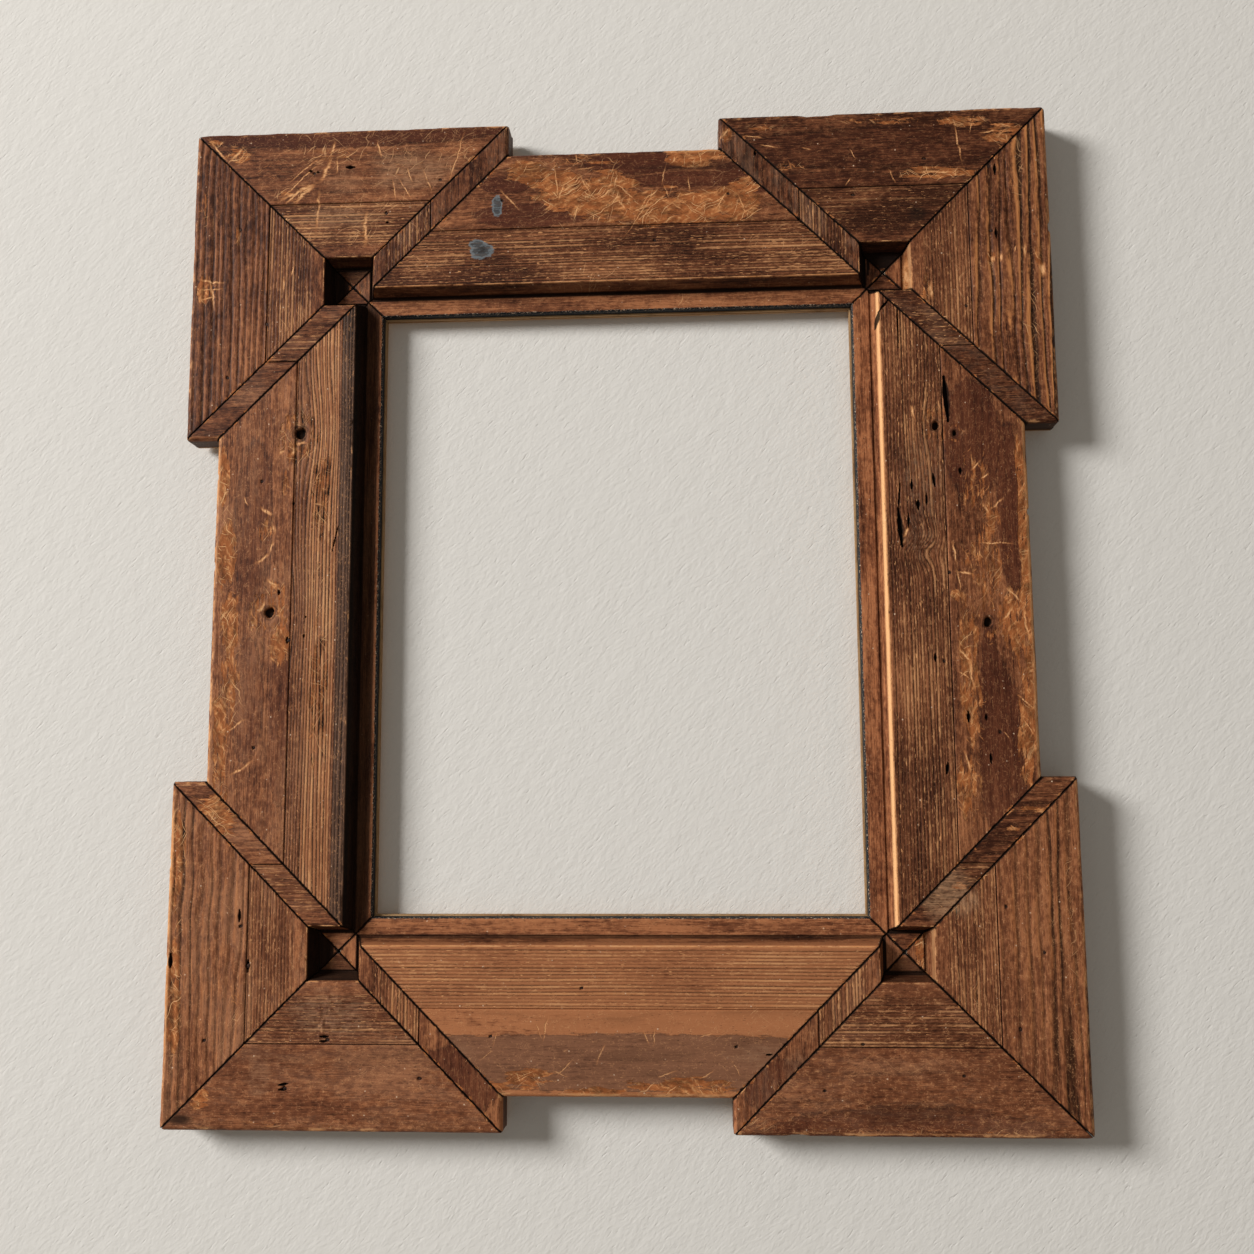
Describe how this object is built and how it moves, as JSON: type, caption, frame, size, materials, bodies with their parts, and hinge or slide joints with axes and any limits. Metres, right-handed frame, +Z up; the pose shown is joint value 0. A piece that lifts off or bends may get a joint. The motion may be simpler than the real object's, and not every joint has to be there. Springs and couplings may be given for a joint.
{
  "type": "picture frame",
  "caption": "Wall frame of old mitred door casing with squared ears at the corners, a stepped lip round an open centre, back boards and swinging hanger rings.",
  "frame": {"origin": "middle of the sight opening, on the plane of the wall behind the frame", "axes": "+X to the viewer's right, +Z up, +Y out of the back towards the wall; the front faces -Y"},
  "size_m": [0.628, 0.0288, 0.72],
  "materials": {
    "stain_dark": "old dark stain, worn through in places",
    "stain_brown": "old brown stain, scratched",
    "stain_worn": "thin orange brown stain, worn to bare wood",
    "back_board": "bare plywood",
    "old_iron": "rusty nail heads",
    "plated_steel": "dull plated steel"
  },
  "bodies": {
    "frame": {"rail_top": "stain_dark", "rail_bottom": "stain_worn", "rail_left": "stain_brown", "rail_right": "stain_worn", "ear_top_left_across": "stain_dark", "ear_top_left_upright": "stain_dark", "ear_top_right_across": "stain_dark", "ear_top_right_upright": "stain_brown", "ear_bottom_left_across": "stain_brown", "ear_bottom_left_upright": "stain_brown", "ear_bottom_right_across": "stain_worn", "ear_bottom_right_upright": "stain_brown", "return_top_left_across": "stain_dark", "return_top_left_upright": "stain_brown", "return_top_right_across": "stain_dark", "return_top_right_upright": "stain_dark", "return_bottom_left_across": "stain_brown", "return_bottom_left_upright": "stain_brown", "return_bottom_right_across": "stain_worn", "return_bottom_right_upright": "stain_brown", "backing_top": "back_board", "backing_bottom": "back_board", "backing_left": "back_board", "backing_right": "back_board", "face_nails": "old_iron", "backing_screws": "plated_steel", "hanger_strap_left": "plated_steel", "hanger_strap_right": "plated_steel", "hanger_screws": "plated_steel"},
    "left_ring": {"hanger_ring_left": "plated_steel"},
    "right_ring": {"hanger_ring_right": "plated_steel"}
  },
  "joints": [
    {"name": "left_ring_swing", "type": "hinge", "parent": "frame", "child": "left_ring", "pos_m": [-0.231, 0.0025, 0.15], "axis": [1, 0, 0], "range_deg": [0, 180]},
    {"name": "right_ring_swing", "type": "hinge", "parent": "frame", "child": "right_ring", "pos_m": [0.231, 0.0025, 0.15], "axis": [1, 0, 0], "range_deg": [0, 180]}
  ]
}
